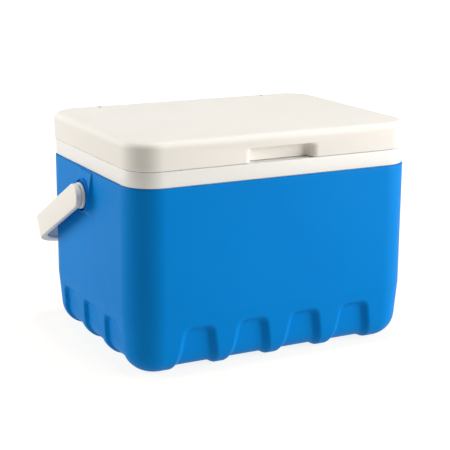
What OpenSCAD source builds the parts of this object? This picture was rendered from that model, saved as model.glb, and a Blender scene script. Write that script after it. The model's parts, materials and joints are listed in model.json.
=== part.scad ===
// Insulated cooler chest: foam-filled body, hinged lid and swinging carry handle.
// Millimetres, +Z up. The origin is the middle of the base, on the floor. The front faces -Y.

/* [Body] */
// Width across the outer shell
body_w = 370; // [360:1:400]
// Depth across the outer shell
body_d = 275; // [270:1:290]
// Height of the outer shell, up to the collar
shell_h = 221; // [215:1:240]
// Radius of the shell's upright corners
corner_r = 40; // [40:1:44]
// Wall of the outer shell
shell_t = 3; // [2.5:0.5:3.5]
// Height at which the shell's sides begin to lean in
lean_h = 70; // [66:1:74]
// Lean of the lower sides, in degrees
lean_a = 5; // [4.5:0.5:6]
// Radius of the round between side and base
base_r = 31; // [30:1:34]

/* [Base notches] */
// Notches along the front and along the back
front_notches = 4; // [3:1:4]
// Notches along each end
end_notches = 3; // [2:1:3]
// Distance between notches along the front and back
front_pitch = 69.5; // [66:0.5:72]
// Distance between notches along the ends
end_pitch = 66; // [64:0.5:68]
// Depth of a notch in the front or back
notch_depth = 7; // [6:0.5:8]
// Depth of a notch in an end
end_depth = 4.5; // [4:0.5:6]
// Height of a notch
notch_h = 56; // [52:1:60]
// Width of a notch at the floor
notch_foot_w = 56; // [52:1:58]
// Width of a notch at its top, in the front or back
notch_head_w = 36; // [32:1:40]
// Width of a notch at its top, in an end
end_head_w = 44; // [36:1:46]

/* [Collar and liner] */
// Height of the white collar
collar_h = 19; // [18:1:22]
// How far the collar stands back from the shell
collar_step = 1.2; // [1:0.1:1.5]
// Radius of the collar's and the lid's upright corners
lid_r = 37; // [36:1:38]
// Distance from the outside to the cavity at its mouth
wall_total = 27; // [26:1:28]
// Wall of the liner
liner_t = 2; // [1.5:0.5:2.5]
// Radius of the cavity's corners at its mouth
cavity_r = 24; // [22:1:26]
// Height of the cavity's floor
cavity_floor = 30; // [28:1:34]
// How much narrower the cavity is at its floor, on each side
cavity_draft = 9; // [6:1:10]

/* [Lid] */
// Height of the lid
lid_h = 32; // [30:1:36]
// Radius along the lid's top edge
lid_round = 8.5; // [7:0.5:9]
// Wall of the lid
lid_t = 3; // [2.5:0.5:3]
// Width of the finger recess
recess_w = 97; // [90:1:110]
// Height of the finger recess
recess_h = 16.5; // [14:0.5:18]
// Depth of the finger recess
recess_d = 13; // [11:1:15]
// How far the lid's plug reaches into the cavity
plug_drop = 10; // [8:1:12]

/* [Hinges] */
// Distance of each hinge from the middle
hinge_x = 117; // [110:1:120]
// Height of the hinge axis above the collar
hinge_up = 12; // [12:0.5:13]
// Distance of the hinge axis from the back of the lid
hinge_in = 3; // [2.8:0.1:3]
// Radius of a hinge pin
hinge_pin_r = 1.75; // [1.5:0.05:1.75]
// Width of a hinge lug
lug_w = 6; // [5:0.5:7]

/* [Handle] */
// Height of the handle's pivots
pivot_z = 190; // [188:1:192]
// Distance of the handle's pivots behind the middle
pivot_y = 3; // [0:1:4]
// Distance between the outer faces of the handle's arms
handle_w = 406; // [404:1:410]
// Reach from the pivots to the inside of the grip
handle_reach = 161.5; // [161.5:0.5:164]
// Thickness of the grip along the reach
grip_t = 20; // [18:1:22]
// Breadth of the arms and the grip
handle_b = 29; // [27:1:30]
// Thickness of an arm
arm_t = 7; // [6:0.5:7]
// Slope of the resting handle below level, in degrees
rest_a = 27.5; // [26:0.5:28]
// Radius of the pivot stubs
stub_r = 8; // [7:0.5:8]
// Height of the bosses that the handle turns against
boss_h = 7; // [6:0.5:7]
// Radius of those bosses
boss_r = 20; // [19:0.5:20]

/* [Hidden] */
$fn = 96;

SHELL_BLUE = [0.02, 0.38, 0.72];
LID_WHITE = [0.90, 0.88, 0.84];
LINER_WHITE = [0.94, 0.94, 0.92];
FOAM_CREAM = [0.93, 0.87, 0.66];
PIN_STEEL = [0.62, 0.63, 0.65];

// Overshoot of a cut past the face it opens
eps = 1;
// Room left between pieces that only touch
room = 0.2;
// Running clearance between a turning pin and its hole
run = 0.05;

rim_top = shell_h + collar_h;
// Gap of the seam between collar and lid
seam = 0.5;
lid_bottom = rim_top + seam;
lid_top = rim_top + seam + lid_h;

// Radius at the shell's top edge
shell_top_round = 2;

// The notch floors belong to a slightly smaller body, raised a little off the floor.
heart_z = 3;
heart_round = 26;
heart_r = corner_r - notch_depth;
// Radius in a notch's upper corners
notch_round = 9;
notch_reach = 48;

// The shell's hollow narrows behind the notches.
hollow_floor = 6;
hollow_round = 20;
hollow_low_r = corner_r - 16;
hollow_high_r = corner_r - shell_t;
hollow_step_low = notch_h - 6;
hollow_step_high = notch_h + 16;

collar_t = 3;
deck_t = 3;
skirt_drop = 8;
skirt_t = 2.2;
skirt_gap = 0.3;
skirt_lap = 5;
liner_round = 10;

// The lid's lining tray fits inside the cavity's mouth.
tray_t = 2;
tray_gap = 2.5;
tray_round = 3;
tray_z = rim_top - plug_drop;
flange_z = lid_bottom + 0.5;
flange_t = 2.5;

hinge_y = body_d / 2 - hinge_in;
hinge_z = rim_top + hinge_up;
lug_r = 5;
lug_gap = 0.6;
cheek_t = 5;
pocket_depth = 16;
window_w = 4;
window_l = 9;
hinge_pin_l = lug_w + 2 * lug_gap + 2 * cheek_t - 1;

handle_bend_out = 52;
handle_bend_in = 40;
handle_edge = 5;
stub_end = body_w / 2 - 13;
snap_r = 9.2;
snap_l = 3.6;
snap_slot = 3;
bush_r = 11;
bush_flange_r = 15.5;
bush_flange_t = 3.4;
bush_end = body_w / 2 - 9;
pocket_r = 13;
pocket_end = body_w / 2 - 17;

plug_y = 70;
plug_r = 12;
plug_head_r = 16;
plug_head_t = 1.6;

// A block whose plan is a rectangle with round corners. children() is half of its
// section, with its radius measured outwards from the axes of the upright corners.
module corner_block(w, d, r, low, high) {
    hx = w / 2 - r;
    hy = d / 2 - r;
    for (x = [-hx, hx], y = [-hy, hy])
        translate([x, y, 0]) rotate_extrude() children();
    rotate([90, 0, 0]) linear_extrude(2 * hy, center = true)
        full_section(hx, low, high) children();
    rotate([90, 0, 90]) linear_extrude(2 * hx, center = true)
        full_section(hy, low, high) children();
}

// Both halves of a section, with the plain middle between the corner axes.
module full_section(half, low, high) {
    translate([half, 0]) children();
    mirror([1, 0]) translate([half, 0]) children();
    translate([-half, low]) square([2 * half, high - low]);
}

// The lower part of a section: a side that leans in below lean_h, and a round into the base.
module leaning_section(r, low, round) {
    round_z = low + round;
    lean_z = round_z - round * sin(lean_a);
    round_r = r - tan(lean_a) * (lean_h - lean_z) - round * cos(lean_a);
    polygon([[0, low], [round_r, low], [round_r + round * cos(lean_a), lean_z],
             [r, lean_h], [0, lean_h]]);
    intersection() {
        translate([round_r, round_z]) circle(round);
        translate([0, low]) square([r, lean_z - low]);
    }
}

// A section with upright sides and a round at its lower or its upper edge.
module plain_section(r, low, high, low_round = 0, high_round = 0) {
    difference() {
        translate([0, low]) square([r, high - low]);
        if (low_round > 0)
            edge_waste(r, low, low_round, 1);
        if (high_round > 0)
            edge_waste(r, high, high_round, -1);
    }
}

// What a round takes off the corner of a section at radius r and height z.
module edge_waste(r, z, round, up) {
    difference() {
        translate([r - round, up > 0 ? z - eps : z - round])
            square([round + eps, round + eps]);
        translate([r - round, z + up * round]) circle(round);
    }
}

module plain_block(w, d, r, low, high, low_round = 0, high_round = 0) {
    corner_block(w, d, r, low, high)
        plain_section(r, low, high, low_round, high_round);
}

// ---------------------------------------------------------------- outer shell

module shell_skin() {
    corner_block(body_w, body_d, corner_r, 0, shell_h)
        union() {
            leaning_section(corner_r, 0, base_r);
            plain_section(corner_r, lean_h, shell_h, 0, shell_top_round);
        }
}

// The smaller body that shows as the floors of the notches.
module notch_floors() {
    corner_block(body_w - 2 * end_depth, body_d - 2 * notch_depth, heart_r, heart_z, lean_h)
        leaning_section(heart_r, heart_z, heart_round);
}

module notch_outline(head_w) {
    foot = notch_foot_w / 2;
    head = head_w / 2;
    difference() {
        polygon([[-foot, -eps], [foot, -eps], [head, notch_h], [-head, notch_h]]);
        for (side = [-1, 1])
            translate([side * head, notch_h]) rotate(side * -45)
                square([notch_round * 2, notch_round * 0.9], center = true);
    }
}

module notch_row(count, pitch, face, head_w) {
    for (i = [0 : count - 1])
        translate([(i - (count - 1) / 2) * pitch, -face - eps, 0]) rotate([90, 0, 180])
            linear_extrude(notch_reach + eps) notch_outline(head_w);
}

module all_notches() {
    for (turn = [0, 180]) {
        rotate(turn) notch_row(front_notches, front_pitch, body_d / 2, notch_head_w);
        rotate(turn + 90) notch_row(end_notches, end_pitch, body_w / 2, end_head_w);
    }
}

// The room inside the shell, made a little smaller all round by shrink.
module shell_hollow(shrink, top) {
    low_r = hollow_low_r - shrink;
    high_r = hollow_high_r - shrink;
    floor_z = hollow_floor + shrink;
    corner_block(body_w, body_d, corner_r, floor_z, top)
        union() {
            plain_section(low_r, floor_z, hollow_step_low, hollow_round);
            polygon([[0, hollow_step_low], [low_r, hollow_step_low],
                     [high_r, hollow_step_high], [high_r, top], [0, top]]);
        }
}

// The boss that one handle hub turns against, on the side given by its sign.
module pivot_boss(side) {
    wall = body_w / 2;
    flare = 5;
    translate([side * wall, pivot_y, pivot_z]) rotate([0, side * 90, 0]) {
        translate([0, 0, -eps]) cylinder(h = boss_h + eps, r = boss_r);
        cylinder(h = flare, r1 = boss_r + flare, r2 = boss_r);
    }
    // A ramp runs from the boss up to the shell's top edge.
    translate([0, pivot_y, 0]) rotate([90, 0, 0])
        linear_extrude(2 * boss_r, center = true)
            polygon([[side * (wall - eps), pivot_z], [side * (wall + boss_h), pivot_z],
                     [side * (wall + 1.5), shell_h - shell_top_round],
                     [side * (wall - eps), shell_h - shell_top_round]]);
}

module along_pivot(side, from, to, r) {
    translate([side * from, pivot_y, pivot_z]) rotate([0, side * 90, 0])
        cylinder(h = to - from, r = r);
}

module outer_shell() {
    color(SHELL_BLUE) difference() {
        union() {
            difference() {
                shell_skin();
                all_notches();
            }
            notch_floors();
            for (side = [-1, 1]) pivot_boss(side);
        }
        shell_hollow(0, shell_h + eps);
        for (side = [-1, 1])
            along_pivot(side, bush_end, body_w / 2 + boss_h + eps, bush_r + room / 2);
        translate([0, plug_y, -eps]) {
            cylinder(h = hollow_floor + 2 * eps, r = plug_r);
            cylinder(h = plug_head_t + eps, r = plug_head_r);
        }
    }
}

module foam_fill_plug() {
    color(SHELL_BLUE) translate([0, plug_y, room]) {
        cylinder(h = plug_head_t - room, r = plug_head_r - room);
        cylinder(h = hollow_floor - room, r = plug_r - room / 2);
    }
}

// ------------------------------------------------------------ liner and foam

cavity_w = body_w - 2 * wall_total;
cavity_d = body_d - 2 * wall_total;

// The cavity, or the liner's outside when it is made larger by grow.
module cavity_block(grow, top) {
    mouth_r = cavity_r + grow;
    floor_r = cavity_r - cavity_draft + grow;
    floor_z = cavity_floor - grow;
    round = liner_round + grow;
    corner_block(cavity_w + 2 * grow, cavity_d + 2 * grow, mouth_r, floor_z, top)
        union() {
            polygon([[0, floor_z], [floor_r - round, floor_z], [floor_r, floor_z + round],
                     [mouth_r, rim_top], [mouth_r, top], [0, top]]);
            intersection() {
                translate([floor_r - round, floor_z + round]) circle(round);
                translate([0, floor_z]) square([floor_r, round]);
            }
        }
}

// An upright band of the given wall, standing inset back from the shell's face.
module wall_band(inset, t, low, high) {
    difference() {
        plain_block(body_w - 2 * inset, body_d - 2 * inset, lid_r, low, high);
        plain_block(body_w - 2 * (inset + t), body_d - 2 * (inset + t), lid_r - t,
                    low - eps, high + eps);
    }
}

module hinge_lug(side) {
    back = hinge_y + lug_r;
    collar_back = body_d / 2 - collar_step;
    // A rib runs down the collar from the lug to here.
    rib_z = rim_top - collar_h + 6;
    translate([side * hinge_x, 0, 0]) rotate([90, 0, 90])
        linear_extrude(lug_w, center = true) {
            translate([hinge_y, hinge_z]) circle(lug_r);
            polygon([[hinge_y - lug_r, rim_top - eps], [collar_back - eps, rim_top - eps],
                     [collar_back - eps, rib_z], [collar_back, rib_z], [back, rim_top - 2],
                     [back, hinge_z], [hinge_y - lug_r, hinge_z]]);
        }
}

module hinge_bore(side, r) {
    translate([side * hinge_x, hinge_y, hinge_z]) rotate([0, 90, 0])
        cylinder(h = 2 * cheek_t + 3 * lug_w, r = r, center = true);
}

module inner_liner() {
    color(LINER_WHITE) difference() {
        union() {
            cavity_block(liner_t, rim_top);
            wall_band(collar_step, collar_t, shell_h + room, rim_top);
            wall_band(shell_t + skirt_gap, skirt_t, shell_h - skirt_drop, shell_h + skirt_lap);
            plain_block(body_w - 2 * collar_step, body_d - 2 * collar_step, lid_r,
                        rim_top - deck_t, rim_top);
            for (side = [-1, 1]) hinge_lug(side);
        }
        cavity_block(0, rim_top + eps);
        for (side = [-1, 1]) hinge_bore(side, hinge_pin_r + run);
    }
}

module body_insulation() {
    skirt_in = shell_t + skirt_gap + skirt_t + room;
    color(FOAM_CREAM) difference() {
        union() {
            shell_hollow(room, shell_h - skirt_drop - room);
            plain_block(body_w - 2 * skirt_in, body_d - 2 * skirt_in, lid_r - skirt_t,
                        shell_h - skirt_drop - eps, rim_top - deck_t - room);
        }
        cavity_block(liner_t + room, rim_top + eps);
        for (side = [-1, 1])
            along_pivot(side, pocket_end, body_w / 2 + eps, pocket_r);
    }
}

// ------------------------------------------------------------------- handle

module handle_plan() {
    half = handle_w / 2;
    outer_reach = handle_reach + grip_t;
    difference() {
        handle_u(half, outer_reach, handle_bend_out);
        translate([0, -eps]) handle_u(half - arm_t, handle_reach + eps, handle_bend_in);
    }
}

// A flat form with two round corners at its far end.
module handle_u(half, reach, bend) {
    translate([-half, -handle_b]) square([2 * half, handle_b + reach - bend]);
    translate([bend - half, 0]) square([2 * (half - bend), reach]);
    for (side = [-1, 1])
        translate([side * (half - bend), reach - bend]) circle(bend);
}

// The handle seen from its end: a round hub and a bar with eased far edges.
module handle_side() {
    half = handle_b / 2;
    reach = handle_reach + grip_t;
    circle(half);
    translate([0, -half]) square([reach - handle_edge, handle_b]);
    translate([0, handle_edge - half]) square([reach, handle_b - 2 * handle_edge]);
    for (side = [-1, 1])
        translate([reach - handle_edge, side * (half - handle_edge)]) circle(handle_edge);
}

module pivot_stub(side) {
    inner = handle_w / 2 - arm_t;
    head = bush_end - 2 * room;
    difference() {
        union() {
            along_pivot(side, stub_end, inner + eps, stub_r);
            translate([side * (head - snap_l), pivot_y, pivot_z]) rotate([0, side * 90, 0])
                cylinder(h = snap_l, r1 = stub_r - 1, r2 = snap_r);
        }
        translate([side * stub_end, pivot_y, pivot_z])
            cube([22, 3 * stub_r, snap_slot], center = true);
    }
}

module carry_handle() {
    color(LID_WHITE) {
        translate([0, pivot_y, pivot_z]) rotate([-rest_a, 0, 0])
            intersection() {
                linear_extrude(handle_b, center = true) handle_plan();
                rotate([90, 0, 90]) linear_extrude(handle_w + 2 * eps, center = true)
                    handle_side();
            }
        for (side = [-1, 1]) pivot_stub(side);
    }
}

module pivot_bush(side) {
    seat = body_w / 2 + boss_h;
    color(LINER_WHITE) difference() {
        union() {
            along_pivot(side, bush_end, seat + eps, bush_r);
            along_pivot(side, seat, seat + bush_flange_t, bush_flange_r);
        }
        along_pivot(side, bush_end - eps, seat + bush_flange_t + eps, stub_r + run);
    }
}

module pivot_bush_left() { pivot_bush(-1); }
module pivot_bush_right() { pivot_bush(1); }

// ---------------------------------------------------------------------- lid

module lid_form() {
    plain_block(body_w, body_d, lid_r, lid_bottom, lid_top, 0, lid_round);
}

module lid_hollow(shrink) {
    inset = 2 * (lid_t + shrink);
    plain_block(body_w - inset, body_d - inset, lid_r - lid_t - shrink,
                lid_bottom - eps, lid_top - lid_t - shrink, 0, lid_round - lid_t);
}

// The recess under the lid's front edge, made larger all round by grow.
module finger_recess(grow) {
    half = recess_w / 2 + grow;
    top = lid_bottom + recess_h + grow;
    round = 5;
    front = -body_d / 2;
    translate([0, front + recess_d + grow, 0]) rotate([90, 0, 0])
        linear_extrude(recess_d + grow + eps) {
            translate([-half, lid_bottom - eps]) square([2 * half, top - round - lid_bottom + eps]);
            translate([round - half, lid_bottom]) square([2 * (half - round), top - lid_bottom]);
            for (side = [-1, 1])
                translate([side * (half - round), top - round]) circle(round);
        }
}

// The solid cheeks beside one hinge lug, made larger all round by grow.
module hinge_cheeks(side, grow) {
    w = lug_w + 2 * lug_gap + 2 * cheek_t + 2 * grow;
    depth = pocket_depth + lid_t + grow;
    translate([side * hinge_x - w / 2, body_d / 2 - depth, lid_bottom - eps])
        cube([w, depth + eps, lid_h + 2 * eps]);
}

module hinge_pocket(side) {
    w = lug_w + 2 * lug_gap;
    front = body_d / 2 - pocket_depth;
    translate([side * hinge_x - w / 2, front, lid_bottom - eps])
        cube([w, pocket_depth + lug_r + eps, hinge_z + lug_r + 1.5 - lid_bottom + eps]);
    // A small window in the top lies over the lug.
    translate([side * hinge_x - window_w / 2, front, hinge_z])
        cube([window_w, window_l, lid_top - hinge_z + eps]);
}

module lid_shell() {
    color(LID_WHITE) difference() {
        intersection() {
            lid_form();
            union() {
                difference() {
                    lid_form();
                    lid_hollow(0);
                }
                finger_recess(lid_t);
                for (side = [-1, 1]) hinge_cheeks(side, 0);
            }
        }
        finger_recess(0);
        for (side = [-1, 1]) {
            hinge_pocket(side);
            hinge_bore(side, hinge_pin_r);
        }
    }
}

// The tray under the lid's foam that reaches into the cavity's mouth.
module tray_form(shrink, low, high) {
    inset = 2 * (tray_gap + shrink);
    plain_block(cavity_w - inset, cavity_d - inset, cavity_r - tray_gap - shrink,
                low, high, tray_round);
}

module lid_liner() {
    inset = 2 * (lid_t + room);
    color(LINER_WHITE) difference() {
        union() {
            plain_block(body_w - inset, body_d - inset, lid_r - lid_t - room,
                        flange_z, flange_z + flange_t);
            tray_form(0, tray_z, flange_z + flange_t);
        }
        tray_form(tray_t, tray_z + tray_t, flange_z + flange_t + eps);
        finger_recess(lid_t + room);
        for (side = [-1, 1]) hinge_cheeks(side, room);
    }
}

module lid_insulation() {
    color(FOAM_CREAM) difference() {
        union() {
            intersection() {
                lid_hollow(room);
                translate([-body_w / 2, -body_d / 2, flange_z + flange_t + room])
                    cube([body_w, body_d, lid_h]);
            }
            tray_form(tray_t + room, tray_z + tray_t + room, flange_z + flange_t + eps);
        }
        finger_recess(lid_t + room);
        for (side = [-1, 1]) hinge_cheeks(side, room);
    }
}

module hinge_pin(side) {
    color(PIN_STEEL) translate([side * hinge_x, hinge_y, hinge_z]) rotate([0, 90, 0])
        cylinder(h = hinge_pin_l, r = hinge_pin_r, center = true);
}

module hinge_pin_left() { hinge_pin(-1); }
module hinge_pin_right() { hinge_pin(1); }

outer_shell();
body_insulation();
inner_liner();
foam_fill_plug();
pivot_bush_left();
pivot_bush_right();
carry_handle();
lid_shell();
lid_insulation();
lid_liner();
hinge_pin_left();
hinge_pin_right();
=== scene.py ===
"""A foam-filled cooler chest: blue notched body, white collar, lid and swinging carry handle. Metres."""

import json
import math

import bmesh
import bpy
from mathutils import Euler, Matrix, Vector


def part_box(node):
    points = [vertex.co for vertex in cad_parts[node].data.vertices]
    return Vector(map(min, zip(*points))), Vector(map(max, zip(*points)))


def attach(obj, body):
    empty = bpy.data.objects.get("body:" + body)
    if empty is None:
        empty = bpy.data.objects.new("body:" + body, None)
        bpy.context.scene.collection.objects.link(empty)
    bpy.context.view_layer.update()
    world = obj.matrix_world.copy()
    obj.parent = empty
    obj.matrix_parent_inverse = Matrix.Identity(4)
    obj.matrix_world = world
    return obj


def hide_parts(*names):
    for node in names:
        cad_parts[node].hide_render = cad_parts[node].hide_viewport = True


MM = 0.001

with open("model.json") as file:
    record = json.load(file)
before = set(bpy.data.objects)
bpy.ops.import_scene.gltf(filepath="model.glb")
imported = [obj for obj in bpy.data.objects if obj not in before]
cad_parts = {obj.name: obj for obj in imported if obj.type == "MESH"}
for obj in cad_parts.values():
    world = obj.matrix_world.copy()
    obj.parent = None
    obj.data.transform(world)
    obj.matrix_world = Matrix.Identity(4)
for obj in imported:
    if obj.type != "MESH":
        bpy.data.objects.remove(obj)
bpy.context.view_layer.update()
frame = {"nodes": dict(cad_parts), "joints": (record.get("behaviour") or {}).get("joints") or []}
nodes = frame["nodes"]
joint_at = {joint["name"]: Vector(joint["pos_m"]) for joint in frame["joints"]}

# ------------------------------------------------------------------ sizes
# The lid covers the whole body, so its box gives the width and depth.
LID_LOW, LID_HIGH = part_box("lid_shell")
HALF_W = LID_HIGH.x
HALF_D = LID_HIGH.y
LID_BOTTOM = LID_LOW.z
LID_TOP = LID_HIGH.z
RIM_TOP = LID_BOTTOM - 0.5 * MM
SHELL_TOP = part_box("outer_shell")[1].z

CORNER_R = 40 * MM
LEAN_Z = 70 * MM
LEAN = math.radians(5)
BASE_R = 31 * MM
TOP_ROUND = 2 * MM

NOTCH_DEPTH = 7 * MM
END_DEPTH = 4.5 * MM
NOTCH_H = 56 * MM
NOTCH_FOOT = 56 * MM
NOTCH_ROUND = 9 * MM
# How far outside a notch's outline its wall begins to sink
NOTCH_EASE = 2 * MM
# The notches' floors lie on a smaller body inside the first: its height off the ground, and its base round
NOTCH_LIFT = 3 * MM
HEART_ROUND = 26 * MM
# How many notches a side has, the distance between them, their width at the top, and how far a
# notch's wall spreads on its way down to the notch's floor
FRONT_NOTCHES = (4, 69.5 * MM, 36 * MM, 8 * MM)
END_NOTCHES = (3, 66 * MM, 44 * MM, 4.5 * MM)

COLLAR_STEP = 1.2 * MM
LID_R = 37 * MM
LID_ROUND = 8.5 * MM
LID_WALL = 3 * MM
CAVITY_INSET = 27 * MM
CAVITY_R = 24 * MM
CAVITY_DRAFT = 9 * MM
CAVITY_FLOOR = 30 * MM

RECESS_W = 97 * MM
RECESS_H = 16.5 * MM
RECESS_D = 13 * MM
RECESS_R = 5 * MM

HINGE = joint_at["lid_hinge"]
HINGE_X = 117 * MM
LUG_W = 6 * MM
LUG_R = 5 * MM
LUG_GAP = 0.6 * MM
CHEEK_T = 5 * MM
POCKET_DEPTH = 16 * MM
PIN_R = 1.75 * MM

PIVOT = joint_at["handle_swing"]
BOSS_H = 7 * MM
BOSS_R = 20 * MM
HANDLE_HALF = 203 * MM
HANDLE_REACH = 161.5 * MM
GRIP_T = 20 * MM
ARM_T = 7 * MM
HANDLE_B = 29 * MM
HANDLE_REST = math.radians(-27.5)
STUB_R = 8 * MM
BUSH_R = 11 * MM
BUSH_END = HALF_W - 9 * MM
FLANGE_R = 15.5 * MM
FLANGE_T = 3.4 * MM
# Running clearance between a turning pin and its hole
RUN = 0.05 * MM


# ------------------------------------------------------------------ making
def deselect_all():
    """Clears the selection, because an operator acts on all that is selected."""
    bpy.ops.object.select_all(action="DESELECT")


def select_only(piece):
    deselect_all()
    piece.select_set(True)
    bpy.context.view_layer.objects.active = piece


def place_points(piece, order, points):
    """Moves the listed vertices to their places, in edit mode."""
    bm = bmesh.from_edit_mesh(piece.data)
    bm.verts.ensure_lookup_table()
    for index, point in zip(order, points):
        bm.verts[index].co = point
    bmesh.update_edit_mesh(piece.data)


def select_points(piece, order):
    bm = bmesh.from_edit_mesh(piece.data)
    bm.verts.ensure_lookup_table()
    bpy.ops.mesh.select_all(action="DESELECT")
    for index in order:
        bm.verts[index].select = True
    bm.select_flush(True)
    bmesh.update_edit_mesh(piece.data)


def extrude_ring(piece, order):
    """Extrudes the selected ring in place and returns its new points in the ring's own order."""
    bpy.ops.mesh.extrude_region_move()
    bm = bmesh.from_edit_mesh(piece.data)
    bm.verts.ensure_lookup_table()
    follower = {}
    for index in range(len(bm.verts) - len(order), len(bm.verts)):
        for edge in bm.verts[index].link_edges:
            other = edge.other_vert(bm.verts[index])
            if not other.select:
                follower[other.index] = index
    return [follower[index] for index in order]


def loft(name, rings, wrap=False):
    """A closed solid through rings of points. With wrap, the last ring joins the first."""
    deselect_all()
    bpy.ops.mesh.primitive_circle_add(vertices=len(rings[0]), fill_type="NOTHING")
    piece = bpy.context.object
    piece.name = piece.data.name = name
    bpy.ops.object.mode_set(mode="EDIT")
    bpy.ops.mesh.select_mode(type="VERT")
    bpy.ops.mesh.select_all(action="SELECT")
    first = order = list(range(len(rings[0])))
    place_points(piece, order, rings[0])
    for ring in rings[1:]:
        order = extrude_ring(piece, order)
        place_points(piece, order, ring)
    if wrap:
        select_points(piece, first + order)
        bpy.ops.mesh.bridge_edge_loops()
    else:
        for end in (order, first):
            select_points(piece, end)
            bpy.ops.mesh.edge_face_add()
    bpy.ops.mesh.select_all(action="SELECT")
    bpy.ops.mesh.normals_make_consistent(inside=False)
    bpy.ops.object.mode_set(mode="OBJECT")
    return piece


def combine(piece, tool, operation):
    """Joins a tool solid to a piece, or cuts the piece with it."""
    boolean = piece.modifiers.new(operation.lower(), "BOOLEAN")
    boolean.operation = operation
    boolean.solver = "EXACT"
    boolean.object = tool
    select_only(piece)
    bpy.ops.object.modifier_apply(modifier=boolean.name)
    bpy.data.objects.remove(tool)


def finish_piece(piece, body, node, material, smooth):
    """Closes and shades a piece, sets it on the body it rides on, hides the part it stands for and gives
    it its finish.
    """
    select_only(piece)
    bpy.ops.object.mode_set(mode="EDIT")
    bpy.ops.mesh.select_all(action="SELECT")
    bpy.ops.mesh.remove_doubles(threshold=0.002 * MM)
    bpy.ops.mesh.normals_make_consistent(inside=False)
    bpy.ops.object.mode_set(mode="OBJECT")
    bpy.ops.object.shade_smooth_by_angle(angle=math.radians(smooth))
    piece.data.materials.clear()
    piece.data.materials.append(material)
    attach(piece, body)
    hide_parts(node)


def steps(start, end, count):
    """Evenly spaced values from start to end, both included."""
    return [start + (end - start) * i / count for i in range(count + 1)]


def arc(centre, radius, start, end, count):
    """Points on an arc in a plane, with its angles in degrees."""
    angles = [math.radians(a) for a in steps(start, end, count)]
    return [(centre[0] + radius * math.cos(a), centre[1] + radius * math.sin(a)) for a in angles]


def plan_columns(per_corner, along_front=1, along_end=1):
    """Columns round the chest's plan: a place along the sides, from -1 to 1, and a direction outwards."""
    columns = []
    corners = [(1, 1), (-1, 1), (-1, -1), (1, -1)]
    for quarter, (x, y) in enumerate(corners):
        for turn in steps(90 * quarter, 90 * (quarter + 1), per_corner):
            columns.append((x, y, math.cos(math.radians(turn)), math.sin(math.radians(turn))))
        next_x, next_y = corners[(quarter + 1) % 4]
        count = along_front if quarter % 2 == 0 else along_end
        for i in range(1, count):
            share = i / count
            out = (0, y) if quarter % 2 == 0 else (x, 0)
            columns.append((x + (next_x - x) * share, y + (next_y - y) * share, *out))
    return columns


def plan_point(column, inset, radius, z):
    """A column's point at a height, for a plan this far in from the chest's sides."""
    x, y, out_x, out_y = column
    return Vector((x * (HALF_W - inset - radius) + out_x * radius,
                   y * (HALF_D - inset - radius) + out_y * radius, z))


def plan_ring(columns, inset, radius, z):
    return [plan_point(column, inset, radius, z) for column in columns]


def round_block(name, low, high, radius=0.4 * MM):
    """A box with eased upright edges between two corners."""
    centre = (low + high) / 2
    half = (high - low) / 2
    ring = []
    for quarter, (x, y) in enumerate([(1, 1), (-1, 1), (-1, -1), (1, -1)]):
        middle = (centre.x + x * (half.x - radius), centre.y + y * (half.y - radius))
        ring += arc(middle, radius, 90 * quarter, 90 * (quarter + 1), 3)
    return loft(name, [[Vector((x, y, z)) for x, y in ring] for z in (low.z, high.z)])


def full_turn(count):
    return [2 * math.pi * i / count for i in range(count)]


def lathe_rings(side, profile, count):
    """Rings about the handle's pivot axis, from (distance from the middle, radius) pairs."""
    return [[Vector((side * x, PIVOT.y + r * math.cos(a), PIVOT.z + r * math.sin(a)))
             for a in full_turn(count)] for x, r in profile]


def upright_rings(centre, profile):
    """Rings about an upright axis, from (height, radius) pairs."""
    return [[Vector((centre.x + r * math.cos(a), centre.y + r * math.sin(a), z))
             for a in full_turn(64)] for z, r in profile]


# ------------------------------------------------------------------ finishes
def new_finish(name):
    material = bpy.data.materials.new(name)
    material.use_nodes = True
    tree = material.node_tree
    shader = tree.nodes["Principled BSDF"]
    place = tree.nodes.new("ShaderNodeTexCoord").outputs["Object"]
    return material, tree, shader, place


def noise(tree, place, scale, detail=3.0, rough=0.5):
    node = tree.nodes.new("ShaderNodeTexNoise")
    node.inputs["Scale"].default_value = scale
    node.inputs["Detail"].default_value = detail
    node.inputs["Roughness"].default_value = rough
    tree.links.new(place, node.inputs["Vector"])
    return node.outputs["Fac"]


def ranged(tree, value, low, high, start=0.3, end=0.7):
    node = tree.nodes.new("ShaderNodeMapRange")
    node.inputs["From Min"].default_value = start
    node.inputs["From Max"].default_value = end
    node.inputs["To Min"].default_value = low
    node.inputs["To Max"].default_value = high
    tree.links.new(value, node.inputs["Value"])
    return node.outputs["Result"]


def blended(tree, share, first, second):
    node = tree.nodes.new("ShaderNodeMix")
    node.data_type = "RGBA"
    for socket, colour in (("A", first), ("B", second)):
        target = [s for s in node.inputs if s.name == socket and s.type == "RGBA"][0]
        if isinstance(colour, tuple):
            target.default_value = (*colour, 1)
        else:
            tree.links.new(colour, target)
    tree.links.new(share, node.inputs["Factor"])
    return [s for s in node.outputs if s.type == "RGBA"][0]


def bumped(tree, height, depth, strength, under=None):
    node = tree.nodes.new("ShaderNodeBump")
    node.inputs["Strength"].default_value = strength
    node.inputs["Distance"].default_value = depth
    tree.links.new(height, node.inputs["Height"])
    if under is not None:
        tree.links.new(under, node.inputs["Normal"])
    return node.outputs["Normal"]


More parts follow.
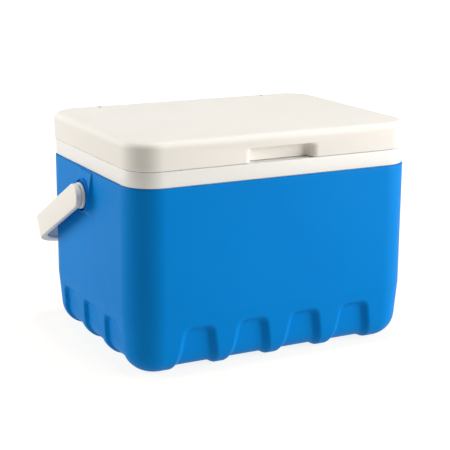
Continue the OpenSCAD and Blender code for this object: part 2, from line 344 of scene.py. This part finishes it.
def moulded_plastic(name, colour, shade, roughness, gloss, dimple=0.05 * MM, wave=0.0):
    """Moulded plastic: a drift of colour, patchy gloss, fine dimples, and a slow wave where it sank."""
    material, tree, shader, place = new_finish(name)
    drift = ranged(tree, noise(tree, place, 9, 3), 0, 1)
    mottle = ranged(tree, noise(tree, place, 260, 4, 0.6), 0, 0.35)
    body = blended(tree, drift, colour, shade)
    speck = blended(tree, mottle, body, tuple(0.94 * c for c in colour))
    tree.links.new(speck, shader.inputs["Base Color"])
    patch = noise(tree, place, 34, 5, 0.65)
    tree.links.new(ranged(tree, patch, roughness - 0.05, roughness + 0.07), shader.inputs["Roughness"])
    shader.inputs["Specular IOR Level"].default_value = gloss
    shader.inputs["IOR"].default_value = 1.5
    normal = bumped(tree, noise(tree, place, 900, 2), dimple, 0.35)
    if wave:
        normal = bumped(tree, noise(tree, place, 14, 2), wave, 1.0, normal)
    tree.links.new(normal, shader.inputs["Normal"])
    return material


def shell_finish():
    """Blue polyethylene, with faint rubs on its lowest edges."""
    material = moulded_plastic("shell_blue", (0.0, 0.221, 0.650), (0.0, 0.207, 0.618), 0.38, 0.045,
                               dimple=0.06 * MM, wave=0.5 * MM)
    tree = material.node_tree
    shader = tree.nodes["Principled BSDF"]
    place = tree.nodes["Texture Coordinate"].outputs["Object"]
    base = shader.inputs["Base Color"].links[0].from_socket
    height = tree.nodes.new("ShaderNodeSeparateXYZ")
    tree.links.new(place, height.inputs["Vector"])
    low_down = ranged(tree, height.outputs["Z"], 1, 0, 0.0, 0.008)
    stretched = tree.nodes.new("ShaderNodeMapping")
    stretched.inputs["Scale"].default_value = (60, 60, 420)
    tree.links.new(place, stretched.inputs["Vector"])
    rubs = ranged(tree, noise(tree, stretched.outputs["Vector"], 4, 6, 0.7), 0, 0.5, 0.55, 0.8)
    worn = tree.nodes.new("ShaderNodeMath")
    worn.operation = "MULTIPLY"
    tree.links.new(low_down, worn.inputs[0])
    tree.links.new(rubs, worn.inputs[1])
    tree.links.new(blended(tree, worn.outputs["Value"], base, (0.10, 0.33, 0.68)),
                   shader.inputs["Base Color"])
    return material


def foam_finish():
    """Poured foam: a cream body with open cells."""
    material, tree, shader, place = new_finish("foam")
    cells = tree.nodes.new("ShaderNodeTexVoronoi")
    cells.inputs["Scale"].default_value = 700
    tree.links.new(place, cells.inputs["Vector"])
    drift = ranged(tree, noise(tree, place, 22, 4), 0, 1)
    tone = blended(tree, drift, (0.86, 0.78, 0.52), (0.78, 0.66, 0.38))
    pores = ranged(tree, cells.outputs["Distance"], 0.45, 0.0, 0.0, 0.4)
    tree.links.new(blended(tree, pores, tone, (0.55, 0.44, 0.24)), shader.inputs["Base Color"])
    tree.links.new(ranged(tree, cells.outputs["Distance"], 0.95, 0.8), shader.inputs["Roughness"])
    tree.links.new(bumped(tree, cells.outputs["Distance"], 0.4 * MM, 0.8), shader.inputs["Normal"])
    return material


def steel_finish():
    """Drawn steel, brushed along the pin."""
    material, tree, shader, place = new_finish("pin_steel")
    shader.inputs["Metallic"].default_value = 1.0
    along = tree.nodes.new("ShaderNodeMapping")
    along.inputs["Scale"].default_value = (40, 2600, 2600)
    tree.links.new(place, along.inputs["Vector"])
    streaks = noise(tree, along.outputs["Vector"], 1, 4)
    tree.links.new(blended(tree, ranged(tree, streaks, 0, 1), (0.56, 0.57, 0.60), (0.70, 0.71, 0.73)),
                   shader.inputs["Base Color"])
    tree.links.new(ranged(tree, streaks, 0.24, 0.42), shader.inputs["Roughness"])
    tree.links.new(bumped(tree, streaks, 0.03 * MM, 0.6), shader.inputs["Normal"])
    return material


BLUE = shell_finish()
LID_WHITE = moulded_plastic("lid_white", (0.830, 0.800, 0.745), (0.810, 0.780, 0.722), 0.50, 0.20,
                            dimple=0.05 * MM, wave=0.25 * MM)
LINER_WHITE = moulded_plastic("liner_white", (0.850, 0.840, 0.815), (0.830, 0.820, 0.792), 0.34, 0.45,
                              dimple=0.03 * MM, wave=0.2 * MM)
HANDLE_WHITE = moulded_plastic("handle_white", (0.835, 0.805, 0.755), (0.812, 0.785, 0.735), 0.42, 0.40,
                               dimple=0.05 * MM)
BUSH_WHITE = moulded_plastic("bush_white", (0.780, 0.770, 0.745), (0.750, 0.740, 0.712), 0.55, 0.35,
                             dimple=0.04 * MM)
FOAM = foam_finish()
PIN_STEEL = steel_finish()


# ------------------------------------------------------------------ outer shell
def smooth_share(value):
    value = min(1.0, max(0.0, value))
    return value * value * (3 - 2 * value)


def notch_share(along, z, row):
    """How far a place on the side has sunk to the notches' floors, from 0 to 1."""
    count, pitch, head, spread = row
    middle = (count - 1) / 2
    nearest = min(count - 1, max(0, round(along / pitch + middle)))
    offset = abs(along - (nearest - middle) * pitch)
    slope = (NOTCH_FOOT - head) / 2 / NOTCH_H
    from_side = (NOTCH_FOOT / 2 - slope * z - offset) / math.hypot(1, slope)
    from_top = NOTCH_H - z
    inside = min(from_side, from_top)
    if from_side < NOTCH_ROUND and from_top < NOTCH_ROUND:
        inside = NOTCH_ROUND - math.hypot(NOTCH_ROUND - from_side, NOTCH_ROUND - from_top)
    return smooth_share((inside + NOTCH_EASE) / spread)


def leaning_profile(radius, low, rounding):
    """(distance out from the corner axis, height) from the base up to where the side stands upright."""
    centre_z = low + rounding
    foot_z = centre_z - rounding * math.sin(LEAN)
    centre_r = radius - math.tan(LEAN) * (LEAN_Z - foot_z) - rounding * math.cos(LEAN)
    curve = arc((centre_r, centre_z), rounding, -90, -math.degrees(LEAN), 14)
    foot = curve[-1]
    rise = [(foot[0] + (radius - foot[0]) * t, foot[1] + (LEAN_Z - foot[1]) * t)
            for t in steps(0, 1, 24)[1:]]
    return curve + rise


def shell_rings(columns):
    """The shell's skin from the middle of its base, up its notched side, and down its inside."""
    least_r = 3 * MM

    def ring(inset, z, heart_inset=None, heart_z=None, sunk=1.0):
        points = []
        for column in columns:
            x, y, out_x, out_y = column
            share = 0.0
            floor_inset = heart_inset or 0
            if heart_inset is not None and out_x * out_y == 0 and abs(x * y) != 1:
                front = out_x == 0
                along = x * (HALF_W - CORNER_R) if front else y * (HALF_D - CORNER_R)
                share = sunk * notch_share(along, z, FRONT_NOTCHES if front else END_NOTCHES)
                if not front and heart_inset != inset:
                    floor_inset -= NOTCH_DEPTH - END_DEPTH
            here = inset + share * (floor_inset - inset)
            up = z + share * ((heart_z or 0) - z)
            points.append(plan_point(column, here, max(least_r, CORNER_R - here), up))
        return points

    outer = leaning_profile(CORNER_R, 0, BASE_R)
    heart = leaning_profile(CORNER_R - NOTCH_DEPTH, NOTCH_LIFT, HEART_ROUND)
    # The flat of the base, which steps up to the notches' floors, and the notched side above it.
    rings = [ring(62 * MM, 0), ring(54 * MM, 0)]
    for inset, sunk in ((51 * MM, 0.5), (48 * MM, 1.0), (43 * MM, 1.0)):
        rings.append(ring(inset, 0, inset, NOTCH_LIFT, sunk))
    for (r, z), (heart_r, heart_z) in zip(outer, heart):
        rings.append(ring(CORNER_R - r, z, CORNER_R - heart_r, heart_z))
    # The upright side and its rounded top edge.
    for z in (72 * MM, 76 * MM, 90 * MM, 150 * MM, SHELL_TOP - 6 * MM):
        rings.append(ring(0, z))
    for inset, z in arc((TOP_ROUND, SHELL_TOP - TOP_ROUND), TOP_ROUND, 180, 90, 5):
        rings.append(ring(inset, z))
    # The hollow, which narrows behind the notches and has a round foot.
    wall = 3 * MM
    thick = 16 * MM
    foot = 20 * MM
    foot_z = 26 * MM
    inner = [(wall, SHELL_TOP - 2.5 * MM), (wall, 72 * MM), (thick, 50 * MM), (thick, foot_z)]
    inner += arc((thick + foot, foot_z), foot, 180, 270, 6)[1:]
    for inset, z in inner:
        rings.append(ring(inset, z))
    return rings


def pivot_boss(side):
    """A round boss that flares out of the end wall."""
    wall = HALF_W
    flare = 5 * MM
    profile = [(wall - 1 * MM, BOSS_R + flare)]
    profile += [(x, r) for r, x in arc((BOSS_R + flare, wall + flare), flare, 270, 180, 8)]
    # The rim of the boss's face.
    profile += [(x, r) for r, x in arc((BOSS_R - 1 * MM, wall + BOSS_H - 1 * MM), 1 * MM, 0, 90, 3)]
    return loft("boss", lathe_rings(side, profile, 96))


def boss_groove(side):
    """The groove round the bush's seat in the boss's face."""
    face = HALF_W + BOSS_H
    floor_x = face - 3 * MM
    inner_r = FLANGE_R + 0.2 * MM
    outer_r = BOSS_R - 0.9 * MM
    profile = [(face + 1 * MM, inner_r), (floor_x + 0.6 * MM, inner_r), (floor_x, inner_r + 0.6 * MM),
               (floor_x, outer_r - 0.7 * MM), (floor_x + 0.6 * MM, outer_r - 0.2 * MM),
               (face + 1 * MM, outer_r)]
    return loft("groove", lathe_rings(side, profile, 96), wrap=True)


def boss_ramp(side):
    """The ramp that runs from the boss up to the shell's top edge."""
    low_z = PIVOT.z - 4 * MM
    high_z = SHELL_TOP - TOP_ROUND
    rings = []
    for share in steps(0, 1, 6):
        z = low_z + (high_z - low_z) * share
        rise = max(0, (z - PIVOT.z) / (high_z - PIVOT.z))
        proud = BOSS_H - 0.3 * MM - (BOSS_H - 1.8 * MM) * rise
        half = [(BOSS_R + 3 * MM, -1 * MM), (BOSS_R + 2.6 * MM, 0)]
        half += [(BOSS_R + 1 * MM, 0.10 * proud), (BOSS_R + 0.3 * MM, 0.35 * proud),
                 (BOSS_R, 0.75 * proud), (BOSS_R - 0.5 * MM, 0.94 * proud), (BOSS_R - 1.4 * MM, proud)]
        outline = half + [(-y, x) for y, x in reversed(half)]
        rings.append([Vector((side * (HALF_W + x), PIVOT.y - y, z)) for y, x in outline])
    return loft("ramp", rings)


def outer_shell():
    columns = plan_columns(22, 182, 122)
    shell = loft("shell_body", shell_rings(columns))
    for side in (-1, 1):
        boss = pivot_boss(side)
        combine(boss, boss_ramp(side), "UNION")
        combine(boss, boss_groove(side), "DIFFERENCE")
        combine(shell, boss, "UNION")
    for side in (-1, 1):
        bore_r = BUSH_R + 0.1 * MM
        bore = [(HALF_W - 15 * MM, bore_r), (HALF_W + BOSS_H - 0.8 * MM, bore_r),
                (HALF_W + BOSS_H + 1 * MM, bore_r + 1.8 * MM)]
        combine(shell, loft("bore", lathe_rings(side, bore, 64)), "DIFFERENCE")
    low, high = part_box("foam_fill_plug")
    centre = (low + high) / 2
    head_r = 16 * MM
    head_z = 1.6 * MM
    hole_r = 12 * MM
    seat = [(-1 * MM, head_r), (head_z, head_r), (head_z, hole_r), (8 * MM, hole_r)]
    combine(shell, loft("plug_seat", upright_rings(centre, seat)), "DIFFERENCE")
    finish_piece(shell, "body", "outer_shell", BLUE, 35)


def fill_plug():
    """The plug in the base, with a shallow dish in its face."""
    low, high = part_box("foam_fill_plug")
    centre = (low + high) / 2
    head_r = (high.x - low.x) / 2
    profile = [(low.z + 0.6 * MM, 3 * MM), (low.z + 0.6 * MM, 9 * MM), (low.z, 10.5 * MM),
               (low.z, head_r - 0.6 * MM), (low.z + 0.5 * MM, head_r), (low.z + 1.4 * MM, head_r),
               (low.z + 1.4 * MM, 11.9 * MM), (high.z - 0.6 * MM, 11.9 * MM), (high.z, 11.3 * MM),
               (high.z, 3 * MM)]
    plug = loft("shell_plug", upright_rings(centre, profile))
    finish_piece(plug, "body", "foam_fill_plug", BLUE, 30)


# ------------------------------------------------------------------ liner and collar
def liner_rings(columns):
    """The tub's inside from the floor up, the deck, the collar with its skirt, and the tub's outside."""
    floor_round = 10 * MM
    wall = 2 * MM
    mouth = CAVITY_INSET
    foot = CAVITY_INSET + CAVITY_DRAFT

    def ring(inset, radius, z):
        return plan_ring(columns, inset, radius, z)

    rings = []
    foot_r = CAVITY_R - CAVITY_DRAFT
    for r, z in arc((foot_r - floor_round, CAVITY_FLOOR + floor_round), floor_round, 270, 360, 8):
        rings.append(ring(foot + foot_r - r, r, z))
    for share in (0.33, 0.66):
        r = foot_r + CAVITY_DRAFT * share
        z = CAVITY_FLOOR + floor_round + (RIM_TOP - CAVITY_FLOOR - floor_round) * share
        rings.append(ring(foot + foot_r - r, r, z))
    lip = 2 * MM
    for inset, z in arc((mouth - lip, RIM_TOP - lip), lip, 0, 90, 5):
        rings.append(ring(inset, CAVITY_R + mouth - inset, z))
    # The deck, the collar's face and its small rounds.
    edge = 1.0 * MM
    face = COLLAR_STEP
    for inset, z in arc((face + edge, RIM_TOP - edge), edge, 90, 180, 4):
        rings.append(ring(inset, LID_R + face - inset, z))
    foot_z = SHELL_TOP + 0.2 * MM
    collar_foot = [(face, foot_z + 9 * MM), (face, foot_z + 1.6 * MM),
                   (face + 0.5 * MM, foot_z + 0.5 * MM), (face + 1.5 * MM, foot_z)]
    # A skirt reaches down inside the shell's top edge.
    skirt_out = 3.3 * MM
    skirt_in = 5.5 * MM
    skirt_low = SHELL_TOP - 8 * MM
    skirt_high = SHELL_TOP + 5 * MM
    collar_back = face + 3 * MM
    skirt = [(skirt_out, foot_z), (skirt_out, skirt_low), (skirt_in, skirt_low), (skirt_in, skirt_high),
             (collar_back, skirt_high), (collar_back, RIM_TOP - 3 * MM)]
    for inset, z in collar_foot + skirt:
        rings.append(ring(inset, LID_R + face - inset, z))
    # The underside of the deck and the tub's outside.
    rings.append(ring(mouth - wall, CAVITY_R + wall, RIM_TOP - 3 * MM))
    for r, z in arc((foot_r - floor_round, CAVITY_FLOOR + floor_round), floor_round + wall, 360, 270, 6):
        rings.append(ring(foot + foot_r - r, r, z))
    return rings


def hinge_lug(side):
    """A rounded lug that stands up from the collar's back, with a rib running down below it."""
    back = HALF_D - COLLAR_STEP
    rib_z = RIM_TOP - 13 * MM
    outline = [(HINGE.y - LUG_R, RIM_TOP - 1 * MM), (back - 1 * MM, RIM_TOP - 1 * MM),
               (back - 1 * MM, rib_z), (back, rib_z), (HINGE.y + LUG_R, RIM_TOP - 2 * MM)]
    outline += arc((HINGE.y, HINGE.z), LUG_R, 0, 180, 16)
    centre = Vector((0, HINGE.y, HINGE.z - 4 * MM))
    half = LUG_W / 2
    eased = 0.5 * MM
    rings = []
    for x, ease in ((-half, 0.9), (eased - half, 1), (half - eased, 1), (half, 0.9)):
        rings.append([Vector((side * HINGE_X + x, centre.y + (y - centre.y) * ease,
                              centre.z + (z - centre.z) * ease)) for y, z in outline])
    return loft("lug", rings)


def hinge_bore(side, radius):
    """A cutter along the hinge's axis, longer than the pin."""
    reach = LUG_W / 2 + CHEEK_T + 0.3 * MM
    circle = [(HINGE.y + radius * math.cos(a), HINGE.z + radius * math.sin(a)) for a in full_turn(24)]
    rings = [[Vector((side * HINGE_X + x, y, z)) for y, z in circle] for x in (-reach, reach)]
    return loft("pin_bore", rings)


def inner_liner():
    liner = loft("liner_tub", liner_rings(plan_columns(18)))
    for side in (-1, 1):
        combine(liner, hinge_lug(side), "UNION")
        combine(liner, hinge_bore(side, PIN_R + RUN), "DIFFERENCE")
    finish_piece(liner, "body", "inner_liner", LINER_WHITE, 32)


# ------------------------------------------------------------------ lid
def lid_rings(columns):
    """The lid's cover, from the middle of its top over the edge and up its inside."""
    def ring(inset, z):
        return plan_ring(columns, inset, LID_R - inset, z)

    rings = [ring(22 * MM, LID_TOP), ring(14 * MM, LID_TOP)]
    for inset, z in arc((LID_ROUND, LID_TOP - LID_ROUND), LID_ROUND, 90, 180, 12):
        rings.append(ring(inset, z))
    rings.append(ring(0, LID_BOTTOM + 4 * MM))
    for inset, z in arc((1.3 * MM, LID_BOTTOM + 1.3 * MM), 1.3 * MM, 180, 270, 4):
        rings.append(ring(inset, z))
    rings.append(ring(LID_WALL, LID_BOTTOM))
    inner_r = LID_ROUND - LID_WALL
    for inset, z in arc((LID_ROUND, LID_TOP - LID_ROUND), inner_r, 180, 90, 6):
        rings.append(ring(inset, z))
    rings.append(ring(22 * MM, LID_TOP - LID_WALL))
    return rings


def arch_ring(y, side_grow, top_grow):
    """The outline of the finger recess at one depth: upright sides and round top corners."""
    half = RECESS_W / 2 + side_grow
    top = LID_BOTTOM + RECESS_H + top_grow
    points = [(-half, LID_BOTTOM - 6 * MM), (-half, LID_BOTTOM + 3 * MM)]
    points += arc((RECESS_R - half, top - RECESS_R), RECESS_R, 180, 90, 6)
    points += [(-x, z) for x, z in reversed(points)]
    return [Vector((x, y, z)) for x, z in points]


def rolled(depth, radius):
    """How far a rolled edge of this radius has closed in at a depth."""
    short = max(0.0, radius - depth)
    return math.sqrt(radius ** 2 - short ** 2)


def recess_cutter():
    """The finger recess: widely rolled ends, a rolled top edge, and a scooped back."""
    end_roll = 9 * MM
    top_roll = 1.8 * MM
    scoop = 6 * MM
    rings = [arch_ring(-HALF_D - 2 * MM, 0.2 * MM, top_roll)]
    for turn in steps(0, 90, 8):
        depth = end_roll * (1 - math.cos(math.radians(turn)))
        top_grow = top_roll - rolled(depth, top_roll)
        rings.append(arch_ring(-HALF_D + depth, -rolled(depth, end_roll), top_grow))
    for turn in steps(0, 80, 6)[1:]:
        shrink = scoop * (1 - math.cos(math.radians(turn)))
        depth = RECESS_D - scoop + scoop * math.sin(math.radians(turn))
        rings.append(arch_ring(-HALF_D + depth, -end_roll - 0.6 * shrink, -shrink))
    return loft("recess", rings)


def hinge_cheeks(side, room=0.0):
    """The solid cheeks beside a lug, larger by room where they cut the lid's panel."""
    half = LUG_W / 2 + LUG_GAP + CHEEK_T + room
    front = HALF_D - POCKET_DEPTH - LID_WALL - room
    low = Vector((side * HINGE_X - half, front, LID_BOTTOM + 0.3 * MM - 3 * room))
    high = Vector((side * HINGE_X + half, HALF_D - 1 * MM + room, LID_TOP - 2 * MM))
    return round_block("cheeks", low, high, 1 * MM)


def hinge_pocket(side):
    """The slot between the cheeks, where the lug stands."""
    half = LUG_W / 2 + LUG_GAP
    low = Vector((side * HINGE_X - half, HALF_D - POCKET_DEPTH, LID_BOTTOM - 2 * MM))
    high = Vector((side * HINGE_X + half, HALF_D + 6 * MM, HINGE.z + LUG_R + 1.5 * MM))
    return round_block("pocket", low, high, 0.8 * MM)


def hinge_window(side):
    """The small window in the lid's top over a lug."""
    low = Vector((side * HINGE_X - 2 * MM, HALF_D - POCKET_DEPTH, HINGE.z))
    high = Vector((side * HINGE_X + 2 * MM, HALF_D - 7 * MM, LID_TOP + 2 * MM))
    return round_block("window", low, high, 0.8 * MM)


def recess_housing(room=0.0):
    """The wall behind the finger recess."""
    half = RECESS_W / 2 + LID_WALL + room
    back = -HALF_D + RECESS_D + LID_WALL + room
    top = LID_BOTTOM + RECESS_H + LID_WALL + room
    low = Vector((-half, -HALF_D + 1 * MM - 3 * room, LID_BOTTOM + 0.3 * MM - 20 * room))
    high = Vector((half, back, top))
    return round_block("housing", low, high, 2 * MM)


def lid_shell():
    lid = loft("lid_cover", lid_rings(plan_columns(20)))
    combine(lid, recess_housing(), "UNION")
    for side in (-1, 1):
        combine(lid, hinge_cheeks(side), "UNION")
    combine(lid, recess_cutter(), "DIFFERENCE")
    for side in (-1, 1):
        combine(lid, hinge_pocket(side), "DIFFERENCE")
        combine(lid, hinge_window(side), "DIFFERENCE")
        combine(lid, hinge_bore(side, PIN_R), "DIFFERENCE")
    finish_piece(lid, "lid", "lid_shell", LID_WHITE, 32)


def lid_liner():
    """The lid's inner panel, with the tray that plugs the cavity's mouth."""
    low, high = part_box("lid_liner")
    columns = plan_columns(16)
    edge = HALF_W - high.x
    tray = CAVITY_INSET + 2.5 * MM
    tray_r = CAVITY_R - 2.5 * MM
    wall = 2 * MM
    flange_z = high.z - 2.5 * MM
    rings = [plan_ring(columns, tray + wall + 2 * MM, tray_r - wall - 2 * MM, low.z + wall)]
    for inset, z in ((tray + wall, low.z + wall + 2 * MM), (tray + wall, high.z)):
        rings.append(plan_ring(columns, inset, tray_r + tray - inset, z))
    for inset, z in ((edge, high.z), (edge, flange_z + 0.5 * MM), (edge + 0.5 * MM, flange_z)):
        rings.append(plan_ring(columns, inset, LID_R - inset, z))
    for inset, z in arc((tray - 1.5 * MM, flange_z - 1.5 * MM), 1.5 * MM, 90, 0, 4):
        rings.append(plan_ring(columns, inset, tray_r + tray - inset, z))
    for inset, z in arc((tray + 3 * MM, low.z + 3 * MM), 3 * MM, 180, 270, 6):
        rings.append(plan_ring(columns, inset, tray_r + tray - inset, z))
    panel = loft("lid_panel", rings)
    combine(panel, recess_housing(0.2 * MM), "DIFFERENCE")
    for side in (-1, 1):
        combine(panel, hinge_cheeks(side, 0.2 * MM), "DIFFERENCE")
    finish_piece(panel, "lid", "lid_liner", LINER_WHITE, 32)


# ------------------------------------------------------------------ handle
def handle_stations():
    """(outer point, inner point, half breadth, edge radius), from the left hub to the grip."""
    hub = HANDLE_B / 2
    arm_round = 1.8 * MM
    grip_round = 4.5 * MM
    outer_x, inner_x = -HANDLE_HALF, -(HANDLE_HALF - ARM_T)
    bend_out, bend_in = 52 * MM, 40 * MM
    outer_end = HANDLE_REACH + GRIP_T
    stations = []
    for turn in steps(4, 90, 14):
        back = -hub * math.cos(math.radians(turn))
        half = hub * math.sin(math.radians(turn))
        stations.append(((outer_x, back), (inner_x, back), half, min(arm_round, 0.8 * half)))
    for share in steps(0, 1, 4)[1:]:
        stations.append(((outer_x, (outer_end - bend_out) * share),
                         (inner_x, (HANDLE_REACH - bend_in) * share), hub, arm_round))
    outer = arc((outer_x + bend_out, outer_end - bend_out), bend_out, 180, 90, 18)
    inner = arc((inner_x + bend_in, HANDLE_REACH - bend_in), bend_in, 180, 90, 18)
    for i, (out, inside) in enumerate(zip(outer, inner)):
        share = smooth_share(i / 18)
        if i:
            stations.append((out, inside, hub, arm_round + (grip_round - arm_round) * share))
    stations.append(((-60 * MM, outer_end), (-60 * MM, HANDLE_REACH), hub, grip_round))
    return stations


def handle_section(outer, inner, half, edge):
    """One section across the bar: a rectangle with round edges."""
    middle = Vector(((outer[0] + inner[0]) / 2, (outer[1] + inner[1]) / 2))
    across = Vector((outer[0] - inner[0], outer[1] - inner[1]))
    thick = across.length / 2
    across.normalize()
    ring = []
    for quarter, (t, b) in enumerate([(1, 1), (-1, 1), (-1, -1), (1, -1)]):
        corner = (t * (thick - edge), b * (half - edge))
        ring += arc(corner, edge, 90 * quarter, 90 * (quarter + 1), 5)
    return [(middle.x + across.x * t, middle.y + across.y * t, b) for t, b in ring]


def carry_handle():
    """The bail, swept through its sections, with the two slotted stubs that snap into the bushes."""
    tilt = Euler((HANDLE_REST, 0, 0)).to_matrix()
    left = [handle_section(*station) for station in handle_stations()]
    right = [[(-x, reach, b) for x, reach, b in ring] for ring in reversed(left)]
    rings = [[PIVOT + tilt @ Vector(point) for point in ring] for ring in left + right]
    handle = loft("carry_handle_bar", rings)
    for side in (-1, 1):
        snap = BUSH_END - 0.4 * MM
        snap_r = 9.1 * MM
        stub_end = HALF_W - 13 * MM
        stub = [(stub_end, 6.2 * MM), (stub_end + 0.6 * MM, 7 * MM), (snap - 0.4 * MM, snap_r),
                (snap, snap_r), (snap, STUB_R), (HANDLE_HALF - ARM_T + 2 * MM, STUB_R)]
        pin = loft("stub", lathe_rings(side, stub, 48))
        slot_half = Vector((11 * MM, 12 * MM, 1.5 * MM))
        at = Vector((side * stub_end, PIVOT.y, PIVOT.z))
        combine(pin, round_block("stub_slot", at - slot_half, at + slot_half), "DIFFERENCE")
        combine(handle, pin, "UNION")
    finish_piece(handle, "handle", "carry_handle", HANDLE_WHITE, 38)


def pivot_bush(side, name):
    """A flanged bush between the handle's hub and the boss."""
    seat = HALF_W + BOSS_H
    face = seat + FLANGE_T
    bore = STUB_R + RUN
    profile = [(BUSH_END, bore), (BUSH_END, BUSH_R - 0.5 * MM), (BUSH_END + 0.5 * MM, BUSH_R),
               (seat, BUSH_R), (seat, FLANGE_R - 0.4 * MM), (seat + 0.4 * MM, FLANGE_R),
               (face - 0.8 * MM, FLANGE_R), (face - 0.2 * MM, FLANGE_R - 0.4 * MM),
               (face, FLANGE_R - 1.1 * MM), (face, bore)]
    bush = loft(name + "_ring", lathe_rings(side, profile, 64), wrap=True)
    finish_piece(bush, "body", name, BUSH_WHITE, 32)


# ------------------------------------------------------------------ the object
outer_shell()
fill_plug()
inner_liner()
lid_shell()
lid_liner()
carry_handle()
pivot_bush(-1, "pivot_bush_left")
pivot_bush(1, "pivot_bush_right")
for node, finish in (("body_insulation", FOAM), ("lid_insulation", FOAM),
                     ("hinge_pin_left", PIN_STEEL), ("hinge_pin_right", PIN_STEEL)):
    nodes[node].data.materials.clear()
    nodes[node].data.materials.append(finish)


# ------------------------------------------------------------------ studio
def floor():
    """A sheet of paper under the chest, made white by a painted glow."""
    deselect_all()
    bpy.ops.mesh.primitive_plane_add(size=30, location=(0, 0, -0.0002))
    plane = bpy.context.object
    plane.name = "studio_floor"
    material, tree, shader, place = new_finish("floor_paper")
    drift = ranged(tree, noise(tree, place, 3), 0, 1)
    # The paper's colour is warm so that blue light bounced from the shell does not tint its shadows: a
    # painted correction of light.
    paper = blended(tree, drift, (0.27, 0.225, 0.17), (0.26, 0.215, 0.16))
    tree.links.new(paper, shader.inputs["Base Color"])
    shader.inputs["Roughness"].default_value = 0.9
    shader.inputs["Specular IOR Level"].default_value = 0.0
    shader.inputs["Emission Color"].default_value = (1, 1, 1, 1)
    # Painted glow: the paper glows white for the camera, dimmer near the chest so that shadows show there
    # and brighter far off. For other rays it glows more weakly and so lights the chest only softly.
    reach = tree.nodes.new("ShaderNodeVectorMath")
    reach.operation = "LENGTH"
    tree.links.new(place, reach.inputs[0])
    seen = ranged(tree, reach.outputs["Value"], 0.85, 1.05, 0.25, 1.5)
    path = tree.nodes.new("ShaderNodeLightPath")
    glow = tree.nodes.new("ShaderNodeMapRange")
    glow.inputs["To Min"].default_value = 0.50
    tree.links.new(path.outputs["Is Camera Ray"], glow.inputs["Value"])
    tree.links.new(seen, glow.inputs["To Max"])
    tree.links.new(glow.outputs["Result"], shader.inputs["Emission Strength"])
    plane.data.materials.append(material)


def soft_light(name, at, aim, size, power):
    data = bpy.data.lights.new(name, "AREA")
    data.shape = "RECTANGLE"
    data.size, data.size_y = size
    data.energy = power
    lamp = bpy.data.objects.new(name, data)
    bpy.context.scene.collection.objects.link(lamp)
    lamp.location = at
    lamp.rotation_euler = (Vector(aim) - Vector(at)).to_track_quat("-Z", "Y").to_euler()


def room_light():
    """White all round for the camera, and a softer fill on the object."""
    world = bpy.data.worlds.new("white_room")
    bpy.context.scene.world = world
    world.use_nodes = True
    tree = world.node_tree
    seen = tree.nodes["Background"]
    seen.inputs["Color"].default_value = (1, 1, 1, 1)
    seen.inputs["Strength"].default_value = 1.1
    fill = tree.nodes.new("ShaderNodeBackground")
    fill.inputs["Color"].default_value = (1, 1, 1, 1)
    fill.inputs["Strength"].default_value = 0.19
    path = tree.nodes.new("ShaderNodeLightPath")
    mix = tree.nodes.new("ShaderNodeMixShader")
    tree.links.new(path.outputs["Is Camera Ray"], mix.inputs["Fac"])
    tree.links.new(fill.outputs["Background"], mix.inputs[1])
    tree.links.new(seen.outputs["Background"], mix.inputs[2])
    tree.links.new(mix.outputs["Shader"], tree.nodes["World Output"].inputs["Surface"])


def view_camera():
    """The camera stands in front of the chest's left corner, a little above its lid."""
    data = bpy.data.cameras.new("view")
    data.lens = 102.55
    data.sensor_width = 36
    camera = bpy.data.objects.new("view", data)
    bpy.context.scene.collection.objects.link(camera)
    # Its axes and its place, from a fit to the chest's edges in the photograph.
    right = Vector((0.8879, -0.4600, 0.0058))
    up = Vector((0.1076, 0.2198, 0.9696))
    back = Vector((-0.4473, -0.8603, 0.2446))
    turn = Matrix((right, up, back)).transposed().to_4x4()
    camera.matrix_world = Matrix.Translation((-0.7192, -1.3791, 0.5257)) @ turn
    bpy.context.scene.camera = camera


floor()
room_light()
middle = (0, 0, 0.14)
soft_light("overhead", (0.1, 0.0, 2.2), middle, (0.8, 0.8), 28)
soft_light("front_right", (1.55, -1.2, 0.6), middle, (1.4, 1.3), 43)
soft_light("left_rear", (-1.5, 1.1, 0.6), middle, (1.3, 1.1), 25)
view_camera()
bpy.context.scene.view_settings.view_transform = "Standard"
